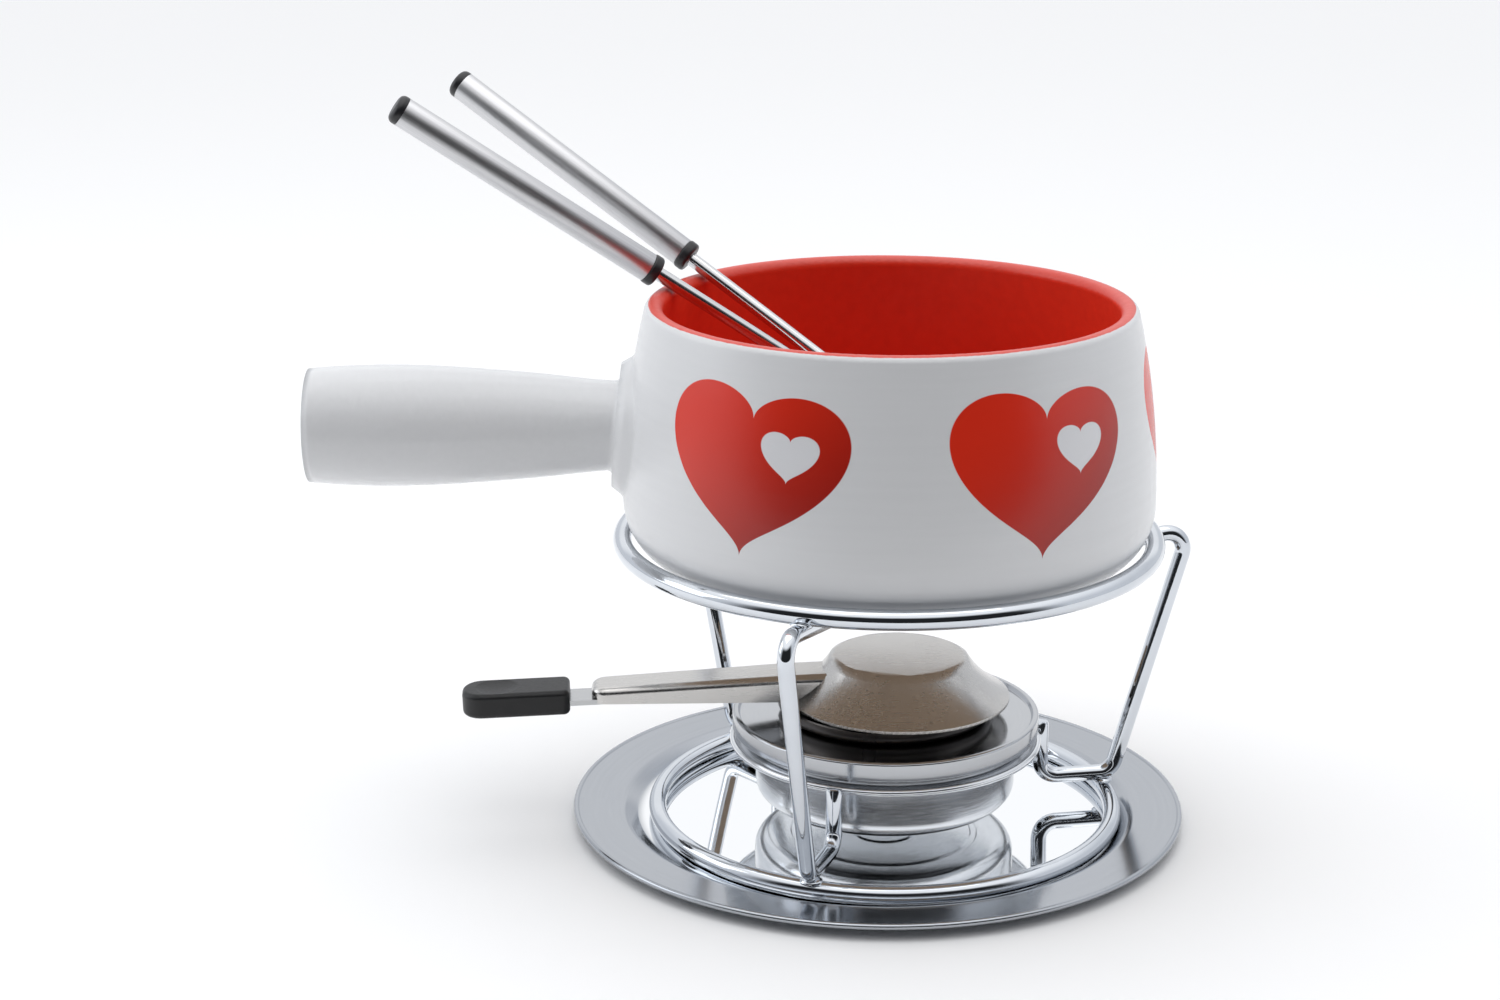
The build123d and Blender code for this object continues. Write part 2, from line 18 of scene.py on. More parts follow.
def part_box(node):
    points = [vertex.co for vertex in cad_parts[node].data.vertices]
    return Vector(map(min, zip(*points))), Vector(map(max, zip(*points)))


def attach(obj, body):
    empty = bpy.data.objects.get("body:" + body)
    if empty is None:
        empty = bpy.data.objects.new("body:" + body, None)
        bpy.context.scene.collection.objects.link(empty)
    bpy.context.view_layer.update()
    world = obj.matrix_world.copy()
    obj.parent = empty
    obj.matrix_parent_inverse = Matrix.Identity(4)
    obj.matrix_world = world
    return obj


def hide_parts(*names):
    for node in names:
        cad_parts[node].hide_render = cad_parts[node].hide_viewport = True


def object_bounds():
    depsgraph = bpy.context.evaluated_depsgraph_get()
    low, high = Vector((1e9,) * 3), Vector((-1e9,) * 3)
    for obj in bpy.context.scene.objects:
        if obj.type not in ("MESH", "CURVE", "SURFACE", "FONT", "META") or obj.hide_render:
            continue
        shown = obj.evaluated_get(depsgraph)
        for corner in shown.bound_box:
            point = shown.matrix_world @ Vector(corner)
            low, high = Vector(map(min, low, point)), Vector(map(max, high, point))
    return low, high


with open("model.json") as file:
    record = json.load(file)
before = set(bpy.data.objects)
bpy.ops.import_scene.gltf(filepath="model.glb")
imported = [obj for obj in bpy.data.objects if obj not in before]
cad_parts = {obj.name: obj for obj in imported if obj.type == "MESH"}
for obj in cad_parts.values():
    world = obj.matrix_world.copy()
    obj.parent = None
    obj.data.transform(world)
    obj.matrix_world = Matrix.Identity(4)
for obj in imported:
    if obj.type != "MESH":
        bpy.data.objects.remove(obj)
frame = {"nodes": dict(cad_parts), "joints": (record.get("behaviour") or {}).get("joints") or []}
cad_nodes = frame["nodes"]
cad_box = [list(corner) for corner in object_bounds()]
MM = 0.001
print("pieces in the part:", len(cad_nodes), "box:", cad_box)

# %% [markdown]
# ## The camera
#
# The set is seen from the front and a little above, at about the eye height of someone seated at
# the table. A longish lens from 0.9 m keeps the circles of pot and tray from bulging.

# %% Camera
camera = bpy.data.objects.new("camera", bpy.data.cameras.new("camera"))
bpy.context.scene.collection.objects.link(camera)
camera.location = (-0.0465, -0.887, 0.3702)
camera.rotation_euler = (radians(73.83), 0, 0)
camera.data.lens = 65.94
camera.data.sensor_width = 36
bpy.context.scene.camera = camera
print("camera", tuple(round(x, 3) for x in camera.location))

# %% [markdown]
# ## Floor, sky and lamps
#
# Chrome has no colour of its own: it shows the room. So the room is built first. The floor is
# plain and pale. The sky is a white tent, greyer low down and brightest overhead, with a bright
# part behind the table that the tray's mirror shows, and a dark patch in front. The dark patch is
# the unlit room behind the camera, and it draws the thin black lines along the wires. Two large
# soft lamps, one above and one at the left, shape the pot.

# %% Colours as the eye reads them
bpy.context.scene.view_settings.view_transform = "Standard"
bpy.context.scene.view_settings.look = "None"


def wire_up(tree, kind, inputs=None, **settings):
    """Adds one node, with its settings, and links or sets its inputs."""
    made = tree.nodes.new(kind)
    for key, value in settings.items():
        setattr(made, key, value)
    for key, value in (inputs or {}).items():
        if isinstance(value, bpy.types.NodeSocket):
            tree.links.new(value, made.inputs[key])
        else:
            made.inputs[key].default_value = value
    return made


def sums(tree, operation, first, second=0.0):
    """One sum in the node tree, such as MULTIPLY or MAXIMUM; gives its output."""
    return wire_up(tree, "ShaderNodeMath", {0: first, 1: second}, operation=operation).outputs[0]


def soft_step(tree, value, start, end):
    """0 below start, 1 above end, and a smooth turn between them."""
    made = wire_up(tree, "ShaderNodeMapRange",
                   {"Value": value, "From Min": start, "From Max": end}, interpolation_type="SMOOTHSTEP")
    return made.outputs["Result"]


def blend_colours(tree, amount, first, second):
    """Goes from the first colour to the second as amount goes from 0 to 1."""
    made = wire_up(tree, "ShaderNodeMix", {"Factor": amount}, data_type="RGBA")
    for socket, value in ((made.inputs[6], first), (made.inputs[7], second)):
        if isinstance(value, bpy.types.NodeSocket):
            tree.links.new(value, socket)
        else:
            socket.default_value = (*value, 1.0)
    return made.outputs[2]


# %% Sky
sky = bpy.data.worlds.new("studio_tent")
bpy.context.scene.world = sky
sky.use_nodes = True
tree = sky.node_tree
tree.nodes.clear()
way = wire_up(tree, "ShaderNodeTexCoord").outputs["Generated"]
split = wire_up(tree, "ShaderNodeSeparateXYZ", {0: way}).outputs
front = sums(tree, "MULTIPLY", split["Y"], -1.0)
in_front = soft_step(tree, front, 0.22, 0.62)
low = sums(tree, "SUBTRACT", 1.0, soft_step(tree, split["Z"], 0.50, 0.74))
unlit = sums(tree, "MULTIPLY", in_front, low)
tall = soft_step(tree, split["Z"], 0.30, 0.90)
tent_low, tent_overhead = (0.74, 0.765, 0.81), (1.20, 1.205, 1.22)
tent_behind, unlit_room = (1.02, 1.03, 1.05), (0.02, 0.021, 0.023)
tent = blend_colours(tree, tall, tent_low, tent_overhead)
behind = sums(tree, "MULTIPLY", soft_step(tree, split["Y"], 0.75, 0.90),
              soft_step(tree, split["Z"], 0.20, 0.30))
tent = blend_colours(tree, behind, tent, tent_behind)
room = blend_colours(tree, unlit, tent, unlit_room)
tent_light = wire_up(tree, "ShaderNodeBackground", {"Color": room, "Strength": 1.0})
backdrop = wire_up(tree, "ShaderNodeBackground", {"Color": (1, 1, 1, 1), "Strength": 1.0})
seen = wire_up(tree, "ShaderNodeLightPath").outputs["Is Camera Ray"]
shown = wire_up(tree, "ShaderNodeMixShader", {0: seen, 1: tent_light.outputs[0], 2: backdrop.outputs[0]})
wire_up(tree, "ShaderNodeOutputWorld", {"Surface": shown.outputs[0]})
print("sky:", sky.name)

# %% Floor
floor_mesh = bpy.data.meshes.new("table_top")
sheet = bmesh.new()
bmesh.ops.create_grid(sheet, x_segments=8, y_segments=8, size=6.0)
bmesh.ops.translate(sheet, verts=sheet.verts, vec=(0, 5.5, 0))
sheet.to_mesh(floor_mesh)
sheet.free()
table_top = bpy.data.objects.new("table_top", floor_mesh)
bpy.context.scene.collection.objects.link(table_top)
table_top.location.z = cad_box[0][2] - 0.2 * MM
pale = bpy.data.materials.new("pale_table")
pale.use_nodes = True
pale_shader = pale.node_tree.nodes["Principled BSDF"]
pale_shader.inputs["Base Color"].default_value = (0.97, 0.97, 0.97, 1)
pale_shader.inputs["Roughness"].default_value = 0.85
pale_shader.inputs["Specular IOR Level"].default_value = 0.1
floor_mesh.materials.append(pale)
print("floor at", round(table_top.location.z, 4))


# %% Lamps
def soft_lamp(name, place, aim, size, watts, colour=(1, 1, 1)):
    """A square soft lamp at a place, aimed at a point."""
    data = bpy.data.lights.new(name, "AREA")
    data.shape = "SQUARE"
    data.size = size
    data.energy = watts
    data.color = colour
    lamp = bpy.data.objects.new(name, data)
    bpy.context.scene.collection.objects.link(lamp)
    lamp.location = place
    lamp.rotation_euler = (Vector(aim) - Vector(place)).to_track_quat("-Z", "Y").to_euler()


pot_middle = tuple((a + b) / 2 for a, b in zip(*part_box("pot")))
soft_lamp("lamp_above", (-0.1, 0.1, 1.5), pot_middle, 1.3, 4.0)
soft_lamp("lamp_left", (-1.2, 0.1, 0.6), pot_middle, 0.7, 2.0, (0.93, 0.96, 1.0))
print("lamps aimed at", tuple(round(x, 3) for x in pot_middle))

# %% [markdown]
# ## Metals and other finishes
#
# Each finish is a small tree of nodes with the wear and grain of the real one. Polished steel is
# clear, with a faint haze that changes over the sheet. Brushed steel has long fine scratches, made
# by stretching a noise along the way the belt or the lathe ran. Plating on wire is the clearest of
# all. Lengths in the trees are metres, because a texture's Object coordinates are in metres.


# %% Finish helper
def new_finish(name, metallic):
    """A material with one Principled shader, for a metal (1) or not (0)."""
    made = bpy.data.materials.new(name)
    made.use_nodes = True
    shader = made.node_tree.nodes["Principled BSDF"]
    shader.inputs["Metallic"].default_value = metallic
    print("finish:", name)
    return made, made.node_tree, shader


def place_on_piece(tree):
    """Where a point is on its own piece, in metres."""
    return wire_up(tree, "ShaderNodeTexCoord").outputs["Object"]


def noise_over(tree, place, scale, detail):
    """Noise read at a place; a larger scale makes finer spots."""
    made = wire_up(tree, "ShaderNodeTexNoise", {"Vector": place, "Scale": scale, "Detail": detail})
    return made.outputs["Fac"]


def stretched_noise(tree, scale, along=(1, 1, 1)):
    """Noise seen through a stretched ruler: small numbers in along make long marks."""
    ruler = wire_up(tree, "ShaderNodeMapping", {"Vector": place_on_piece(tree), "Scale": along})
    return noise_over(tree, ruler.outputs[0], scale, 3.0)


def polar(tree, middle=(0, 0)):
    """Distance from an upright axis, angle round it, and height."""
    centred = wire_up(tree, "ShaderNodeVectorMath", {0: place_on_piece(tree), 1: (*middle, 0)},
                      operation="SUBTRACT")
    part = wire_up(tree, "ShaderNodeSeparateXYZ", {0: centred.outputs[0]}).outputs
    across = sums(tree, "SQRT", sums(tree, "ADD", sums(tree, "MULTIPLY", part["X"], part["X"]),
                                     sums(tree, "MULTIPLY", part["Y"], part["Y"])))
    return across, sums(tree, "ARCTAN2", part["Y"], part["X"]), part["Z"]


def turned_noise(tree, scale, middle=(0, 0)):
    """Fine rings, as a lathe or polishing wheel leaves them: noise read by radius and height."""
    across, angle, height = polar(tree, middle)
    slow_turn = sums(tree, "MULTIPLY", angle, 0.004)
    ruler = wire_up(tree, "ShaderNodeCombineXYZ", {"X": across, "Y": slow_turn, "Z": height})
    return noise_over(tree, ruler.outputs[0], scale, 4.0)


def between(tree, value, least, most):
    """Turns a 0 to 1 value into one between least and most."""
    made = wire_up(tree, "ShaderNodeMapRange", {"Value": value, "To Min": least, "To Max": most})
    return made.outputs["Result"]


def colour_by(tree, shader, pattern, first, second):
    """Lets a pattern run the colour from the first shade to the second."""
    tree.links.new(blend_colours(tree, pattern, first, second), shader.inputs["Base Color"])


def gloss_by(tree, shader, pattern, first, second):
    """Lets a pattern run the roughness; 0 is a mirror, 1 is chalk."""
    tree.links.new(between(tree, pattern, first, second), shader.inputs["Roughness"])


def press_marks(tree, shader, height, strength, depth):
    """Lets a height pattern tilt the light, as real scratches or grain do."""
    bump = wire_up(tree, "ShaderNodeBump", {"Height": height, "Strength": strength, "Distance": depth})
    tree.links.new(bump.outputs[0], shader.inputs["Normal"])


# %% Plated wire
stand_chrome, tree, shader = new_finish("stand_chrome", 1.0)
haze = stretched_noise(tree, 60)
gloss_by(tree, shader, haze, 0.02, 0.09)
colour_by(tree, shader, haze, (0.60, 0.63, 0.67), (0.72, 0.75, 0.79))
press_marks(tree, shader, stretched_noise(tree, 240), 0.03, 0.0004)

# %% [markdown]
# The tray has two finishes on one sheet: its floor is a mirror, and its flange is a duller ring
# with fine turning marks. The flange is also painted a darker grey than the floor: a painted
# reflection of grey surroundings. The two meet where the floor steps up, so the tree measures the
# distance from the tray's own middle and changes over there.

# %% Tray sheet
tray_low, tray_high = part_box("tray")
room_for_ring = 1.3 * MM
well_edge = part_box("base_ring")[1].x + room_for_ring
tray_middle = ((tray_low.x + tray_high.x) / 2, (tray_low.y + tray_high.y) / 2)
tray_mirror, tree, shader = new_finish("tray_mirror", 1.0)
across = polar(tree, tray_middle)[0]
on_flange = soft_step(tree, across, well_edge - 3 * MM, well_edge + 1 * MM)
rings = turned_noise(tree, 900, middle=tray_middle)
cloud = stretched_noise(tree, 18)
well_gloss = between(tree, cloud, 0.015, 0.045)
flange_gloss = sums(tree, "ADD", between(tree, cloud, 0.10, 0.15), between(tree, rings, 0.0, 0.03))
gloss = wire_up(tree, "ShaderNodeMix", {0: on_flange, 2: well_gloss, 3: flange_gloss}, data_type="FLOAT")
tree.links.new(gloss.outputs[0], shader.inputs["Roughness"])
# The flange's darker grey is a painted reflection of grey surroundings; the turning rings vary it.
flange_painted_reflection = blend_colours(tree, rings, (0.40, 0.42, 0.45), (0.44, 0.46, 0.49))
colour_by(tree, shader, on_flange, (0.93, 0.94, 0.95), flange_painted_reflection)
press_marks(tree, shader, cloud, 0.02, 0.002)

# %% [markdown]
# The burner is spun and turned, so its marks are rings round the axis. The collar's top is the most
# polished of them. The cup is dull aluminium, and the flame screen is brown and grey from soot.

# %% Burner steels
collar_mirror, tree, shader = new_finish("collar_mirror", 1.0)
rings = turned_noise(tree, 1100)
gloss_by(tree, shader, rings, 0.09, 0.17)
colour_by(tree, shader, rings, (0.46, 0.475, 0.495), (0.52, 0.53, 0.55))
press_marks(tree, shader, rings, 0.02, 0.0003)

burner_steel, tree, shader = new_finish("burner_steel", 1.0)
rings = turned_noise(tree, 1400)
smudge = stretched_noise(tree, 45)
tree.links.new(sums(tree, "ADD", between(tree, rings, 0.10, 0.22), between(tree, smudge, 0.0, 0.10)),
               shader.inputs["Roughness"])
colour_by(tree, shader, rings, (0.68, 0.70, 0.73), (0.84, 0.86, 0.88))
press_marks(tree, shader, rings, 0.08, 0.0003)

cup_aluminium, tree, shader = new_finish("cup_aluminium", 1.0)
dull = stretched_noise(tree, 80)
gloss_by(tree, shader, dull, 0.32, 0.5)
colour_by(tree, shader, dull, (0.62, 0.63, 0.64), (0.76, 0.77, 0.78))

screen_steel, tree, shader = new_finish("screen_steel", 1.0)
soot = stretched_noise(tree, 70)
colour_by(tree, shader, soot, (0.22, 0.20, 0.19), (0.50, 0.48, 0.46))
gloss_by(tree, shader, soot, 0.5, 0.3)

# %% [markdown]
# The regulator's dish is painted nearly black: painted shade for the dark gap under the lid's rim.
# Its arm and the lid are strip and sheet, brushed along the lever, so their noise is stretched along
# that line. The grip is black plastic with a fine moulded grain, which breaks up its highlights.

# %% Regulator and lid
dark_steel, tree, shader = new_finish("dark_steel", 1.0)
# Painted shade: the dish's near-black colour stands for the shadow under the lid, and the noise varies
# it.
shade_and_gloss_noise = stretched_noise(tree, 60)
colour_by(tree, shader, shade_and_gloss_noise, (0.05, 0.046, 0.044), (0.12, 0.11, 0.105))
gloss_by(tree, shader, shade_and_gloss_noise, 0.22, 0.38)

lever_steel, tree, shader = new_finish("lever_steel", 1.0)
scratch = stretched_noise(tree, 12, (6, 160, 160))
gloss_by(tree, shader, scratch, 0.14, 0.30)
colour_by(tree, shader, scratch, (0.46, 0.465, 0.47), (0.56, 0.565, 0.57))
press_marks(tree, shader, scratch, 0.08, 0.0002)

lid_steel, tree, shader = new_finish("lid_steel", 1.0)
brush = stretched_noise(tree, 14, (8, 120, 120))
smudge = stretched_noise(tree, 40)
tree.links.new(sums(tree, "ADD", between(tree, brush, 0.16, 0.27), between(tree, smudge, 0.0, 0.08)),
               shader.inputs["Roughness"])
colour_by(tree, shader, brush, (0.56, 0.545, 0.525), (0.66, 0.645, 0.625))
press_marks(tree, shader, brush, 0.008, 0.0001)

grip_plastic, tree, shader = new_finish("grip_plastic", 0.0)
grain = stretched_noise(tree, 900)
gloss_by(tree, shader, grain, 0.36, 0.5)
colour_by(tree, shader, grain, (0.003, 0.003, 0.0035), (0.007, 0.007, 0.008))
press_marks(tree, shader, grain, 0.25, 0.0002)

# %% [markdown]
# A fork's tube is brushed along its length, and it lies at a slant. Its marks are read from where
# each point was while the tube stood upright, which a later cell notes on the mesh.

# %% Fork finishes
tube_steel, tree, shader = new_finish("tube_steel", 1.0)
upright = wire_up(tree, "ShaderNodeAttribute", attribute_name="upright").outputs["Vector"]
ruler = wire_up(tree, "ShaderNodeMapping", {"Vector": upright, "Scale": (140, 140, 3)})
belt = noise_over(tree, ruler.outputs[0], 14, 5.0)
gloss_by(tree, shader, belt, 0.32, 0.46)
colour_by(tree, shader, belt, (0.50, 0.50, 0.51), (0.72, 0.72, 0.73))
press_marks(tree, shader, belt, 0.2, 0.0002)

rod_steel, tree, shader = new_finish("rod_steel", 1.0)
wipe = stretched_noise(tree, 120)
gloss_by(tree, shader, wipe, 0.10, 0.22)
colour_by(tree, shader, wipe, (0.60, 0.60, 0.61), (0.72, 0.72, 0.73))

fork_trim, tree, shader = new_finish("fork_trim", 0.0)
grain = stretched_noise(tree, 700)
gloss_by(tree, shader, grain, 0.28, 0.42)
colour_by(tree, shader, grain, (0.010, 0.010, 0.012), (0.022, 0.022, 0.025))
press_marks(tree, shader, grain, 0.1, 0.0002)
# %% [markdown]
# ## The pot's glazes
#
# The pot is stoneware with two glazes: satin white outside and a deep red inside that comes just over
# the rim, paler there as thin glaze and painted highlight. The underside is left bare and shows the clay.
# Two materials could meet at a row of faces, but a real glaze ends in a soft wandering line, so
# both are in one tree. The wall leans in towards the mouth, and the line between them follows it
# about a millimetre inside the outer face. Red hearts go round the outside, one every sixth of a
# turn but for the handle's place. A heart is one short formula of the piece's own coordinates.

# %% Pot measures
pot_low, pot_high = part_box("pot")
belly_radius = pot_high.x
pot_base, pot_top = pot_low.z, pot_high.z
mouth_lean = 8.1 * MM
foot_corner = 20 * MM
lean_start = pot_base + foot_corner
wall_bow = mouth_lean / (pot_top - lean_start) ** 2
print("pot from", round(pot_base, 4), "to", round(pot_top, 4), "radius", round(belly_radius, 4))

# %% Glaze zones
pot_glaze, tree, shader = new_finish("pot_glaze", 0.0)
across, angle, height = polar(tree)
above_lean = sums(tree, "MAXIMUM", sums(tree, "SUBTRACT", height, lean_start), 0.0)
below_corner = sums(tree, "MAXIMUM", sums(tree, "SUBTRACT", lean_start, height), 0.0)
corner_square = sums(tree, "SUBTRACT", foot_corner ** 2,
                     sums(tree, "MULTIPLY", below_corner, below_corner))
corner_reach = sums(tree, "SQRT", sums(tree, "MAXIMUM", corner_square, 0.0))
bow = sums(tree, "MULTIPLY", wall_bow, sums(tree, "MULTIPLY", above_lean, above_lean))
wall_now = sums(tree, "SUBTRACT", sums(tree, "ADD", belly_radius - foot_corner, corner_reach), bow)
inward = sums(tree, "SUBTRACT", wall_now, across)
wander = between(tree, stretched_noise(tree, 150), -0.0002, 0.0002)
is_inside = soft_step(tree, sums(tree, "ADD", inward, wander), 0.85 * MM, 1.10 * MM)
above_floor = soft_step(tree, height, pot_base + 4.0 * MM, pot_base + 4.4 * MM)
is_inside = sums(tree, "MULTIPLY", is_inside, above_floor)
is_foot = sums(tree, "SUBTRACT", 1.0, soft_step(tree, sums(tree, "ADD", height, wander),
                                               pot_base + 0.5 * MM, pot_base + 0.9 * MM))

# %% [markdown]
# Real hearts are put on as paper transfers, by hand, so one of the two at the front sits a few
# degrees further round than an even sixth. The turn of the angle is bent there by a small step in
# the plain wall between the two, where nothing shows it. Each heart also leans a little.

# %% Heart places
places_round = 6
step_angle = 2 * pi / places_round
heart_middle = 142.3 * MM
heart_half_width, heart_half_height = 32.635 * MM, 29.28 * MM
hand_turn, hand_shift = radians(3.0), radians(3.6)
past_front = soft_step(tree, angle, -1.66, -1.48)
by_hand = sums(tree, "SUBTRACT", hand_turn, sums(tree, "MULTIPLY", past_front, hand_shift))
turn = sums(tree, "ADD", sums(tree, "ADD", angle, by_hand), step_angle / 2 + 2 * pi)
slot_angle = sums(tree, "SUBTRACT", sums(tree, "MODULO", turn, step_angle), step_angle / 2)
side = sums(tree, "DIVIDE", sums(tree, "MULTIPLY", slot_angle, belly_radius - 2 * MM), heart_half_width)
rise = sums(tree, "DIVIDE", sums(tree, "SUBTRACT", height, heart_middle), heart_half_height)
lean = radians(3.5)
heart_x = sums(tree, "ADD", sums(tree, "MULTIPLY", side, cos(lean)),
               sums(tree, "MULTIPLY", rise, -sin(lean)))
heart_y = sums(tree, "ADD", sums(tree, "MULTIPLY", side, sin(lean)),
               sums(tree, "MULTIPLY", rise, cos(lean)))
print("hearts", round(heart_middle, 4), "up, one every", round(step_angle, 3), "radians")


# %% Heart outline
def heart_value(tree, x, y, size, middle_x, middle_y):
    """Below 0 inside a heart of that size: x squared + (1.37 y - 0.75 sqrt|x|) squared - 1."""
    x = sums(tree, "DIVIDE", sums(tree, "SUBTRACT", x, middle_x), size)
    y = sums(tree, "DIVIDE", sums(tree, "SUBTRACT", y, middle_y), size)
    dip = sums(tree, "MULTIPLY", sums(tree, "SQRT", sums(tree, "ABSOLUTE", x)), 0.75)
    lift = sums(tree, "SUBTRACT", sums(tree, "MULTIPLY", sums(tree, "ADD", y, 0.145), 1.37), dip)
    return sums(tree, "SUBTRACT", sums(tree, "ADD", sums(tree, "MULTIPLY", x, x),
                                       sums(tree, "MULTIPLY", lift, lift)), 1.0)


red_heart = heart_value(tree, heart_x, heart_y, 1.02, 0.0, 0.0)
small_heart = heart_value(tree, heart_x, heart_y, 0.30, 0.42, 0.25)
last_angle = pi * 0.86
before_handle = sums(tree, "SUBTRACT", last_angle, sums(tree, "ABSOLUTE", angle))
away_from_handle = soft_step(tree, before_handle, 0.0, 0.01)
outside_wall = sums(tree, "SUBTRACT", 1.0, soft_step(tree, inward, 2 * MM, 3 * MM))
on_belly = sums(tree, "MULTIPLY", away_from_handle, outside_wall)
red_edge = sums(tree, "SUBTRACT", 1.0, soft_step(tree, red_heart, -0.012, 0.012))
in_heart = sums(tree, "MULTIPLY", on_belly, red_edge)
in_small = sums(tree, "SUBTRACT", 1.0, soft_step(tree, small_heart, -0.04, 0.04))
print("heart drawn, with a small white one in it")

# %% [markdown]
# The red isn't one colour: a heart is lighter at its upper left, and the bowl has fine darker specks.
# The bowl's red also darkens towards the floor, which is painted shade. The white shows the throwing
# rings faintly.

# %% Glaze colours
speck = stretched_noise(tree, 260)
throwing = turned_noise(tree, 420)
white = blend_colours(tree, throwing, (0.76, 0.765, 0.775), (0.80, 0.805, 0.815))
fade = sums(tree, "ADD", sums(tree, "MULTIPLY", heart_x, 0.28), sums(tree, "MULTIPLY", heart_y, -0.30))
shade = soft_step(tree, sums(tree, "ADD", fade, 0.42), 0.0, 1.0)
heart_red = blend_colours(tree, shade, (0.78, 0.030, 0.010), (0.26, 0.008, 0.005))
heart_paint = blend_colours(tree, in_small, heart_red, (0.80, 0.80, 0.82))
# Painted shade: the bowl's red darkens towards the floor, where the walls shade it.
bowl_shade_by_height = soft_step(tree, height, pot_base + 10 * MM, pot_top)
bowl_red = blend_colours(tree, bowl_shade_by_height, (0.74, 0.024, 0.006), (0.90, 0.062, 0.026))
bowl_red = blend_colours(tree, between(tree, speck, 0.0, 0.3), bowl_red, (0.46, 0.010, 0.004))
# The paler rim is partly the glaze lying thin and partly a painted highlight along the rim.
rim_thin_glaze_and_highlight = soft_step(tree, height, pot_top - 2.6 * MM, pot_top - 0.4 * MM)
bowl_red = blend_colours(tree, sums(tree, "MULTIPLY", rim_thin_glaze_and_highlight, 0.45), bowl_red, (0.58, 0.10, 0.085))
clay = blend_colours(tree, speck, (0.36, 0.26, 0.18), (0.50, 0.38, 0.28))
outside = blend_colours(tree, in_heart, white, heart_paint)
outside = blend_colours(tree, is_foot, outside, clay)
colour_by(tree, shader, is_inside, outside, bowl_red)

# %% Glaze gloss
satin = sums(tree, "ADD", between(tree, throwing, 0.22, 0.28), sums(tree, "MULTIPLY", is_foot, 0.4))
red_gloss = between(tree, speck, 0.30, 0.42)
gloss = wire_up(tree, "ShaderNodeMix", {0: is_inside, 2: satin, 3: red_gloss}, data_type="FLOAT")
tree.links.new(gloss.outputs[0], shader.inputs["Roughness"])
ripple = sums(tree, "ADD", throwing, sums(tree, "MULTIPLY", speck, 0.6))
press_marks(tree, shader, ripple, 0.035, 0.0005)
print("glazes ready")

# %% [markdown]
# ## Turned and pressed sheet
#
# Tray, bowl and collar are all spun or pressed from thin sheet. On a drawing each is a line with
# rounded corners that is given a thickness and turned about the axis, and it is made the same way
# here: the line is thickened, its corners are rounded, and Blender's Spin turns it into a mesh.
# The result has even faces all round, so the reflections in the polished steel stay clean.


# %% Rounded outline
def rounded(corners, radii, steps):
    """The corners of an outline, with an arc in place of each that has a radius."""
    points = []
    for i, corner in enumerate(corners):
        radius = radii[i]
        if radius <= 0:
            points.append(Vector(corner))
            continue
        here = Vector(corner)
        back = (Vector(corners[i - 1]) - here).normalized()
        ahead = (Vector(corners[(i + 1) % len(corners)]) - here).normalized()
        half = back.angle(ahead) / 2
        reach = radius / tan(half)
        centre = here + (back + ahead).normalized() * (radius / sin(half))
        first, last = here + back * reach - centre, here + ahead * reach - centre
        sweep = first.angle_signed(last)
        for k in range(steps + 1):
            points.append(centre + Matrix.Rotation(-sweep * k / steps, 2) @ first)
    return points


def beside(path, distance):
    """The corners of a path moved sideways to its left."""
    moved = []
    for i, corner in enumerate(path):
        here = Vector(corner)
        ways = []
        if i > 0:
            ways.append((here - Vector(path[i - 1])).normalized())
        if i < len(path) - 1:
            ways.append((Vector(path[i + 1]) - here).normalized())
        lefts = [Vector((-w.y, w.x)) for w in ways]
        left = sum(lefts, Vector((0, 0))).normalized()
        moved.append(here + left * (distance / left.dot(lefts[0])))
    return moved


def sheet_outline(path, radii, thickness, steps):
    """Both faces of a sheet that follows a path; radii are those of the face on the path."""
    other = beside(path, thickness)
    other_radii = []
    for i, radius in enumerate(radii):
        if radius <= 0:
            other_radii.append(0)
            continue
        before = Vector(path[i]) - Vector(path[i - 1])
        after = Vector(path[i + 1]) - Vector(path[i])
        turns_left = before.x * after.y - before.y * after.x > 0
        other_radii.append(max(radius - thickness, 0.12) if turns_left else radius + thickness)
    return rounded(path, radii, steps), rounded(other, other_radii, steps)


# %% Spin helper
def finished_piece(name, mesh, material, body, nodes, sharp=32.0):
    """Smooths a mesh, gives it its finish and puts it on the CAD body that carries it."""
    for face in mesh.polygons:
        face.use_smooth = True
    mesh.set_sharp_from_angle(angle=radians(sharp))
    mesh.materials.clear()
    mesh.materials.append(material)
    piece = bpy.data.objects.new(name, mesh)
    bpy.context.scene.collection.objects.link(piece)
    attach(piece, body)
    if nodes:
        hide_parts(*nodes)
    print(name, len(mesh.polygons), "faces, rides on", body)
    return piece


def spun_mesh(name, outline, segments):
    """Turns an outline of (distance out, height) in millimetres about the upright axis."""
    made = bmesh.new()
    verts = [made.verts.new((p[0] * MM, 0, p[1] * MM)) for p in outline]
    edges = [made.edges.new((a, b)) for a, b in zip(verts, verts[1:] + verts[:1])]
    bmesh.ops.spin(made, geom=verts + edges, axis=(0, 0, 1), cent=(0, 0, 0), angle=2 * pi,
                   steps=segments, use_merge=True)
    bmesh.ops.remove_doubles(made, verts=made.verts, dist=1e-6)
    bmesh.ops.dissolve_degenerate(made, edges=made.edges, dist=1e-7)
    bmesh.ops.recalc_face_normals(made, faces=made.faces)
    mesh = bpy.data.meshes.new(name)
    made.to_mesh(mesh)
    made.free()
    return mesh


def bead(centre, radius, start, end, steps):
    """An arc round a rolled edge, from one angle to another, in degrees."""
    angles = [radians(start + (end - start) * k / steps) for k in range(steps + 1)]
    return [Vector((centre[0] + radius * cos(a), centre[1] + radius * sin(a))) for a in angles]


# %% [markdown]
# ## The tray
#
# The tray is one pressed sheet of 1 mm steel: a flat polished floor, a step up, a flange that
# climbs a little and a rolled edge. The stand's foot ring stands just inside the step. The tray is
# put down by hand, so it is a little off the stand's middle; it is spun first and moved after.

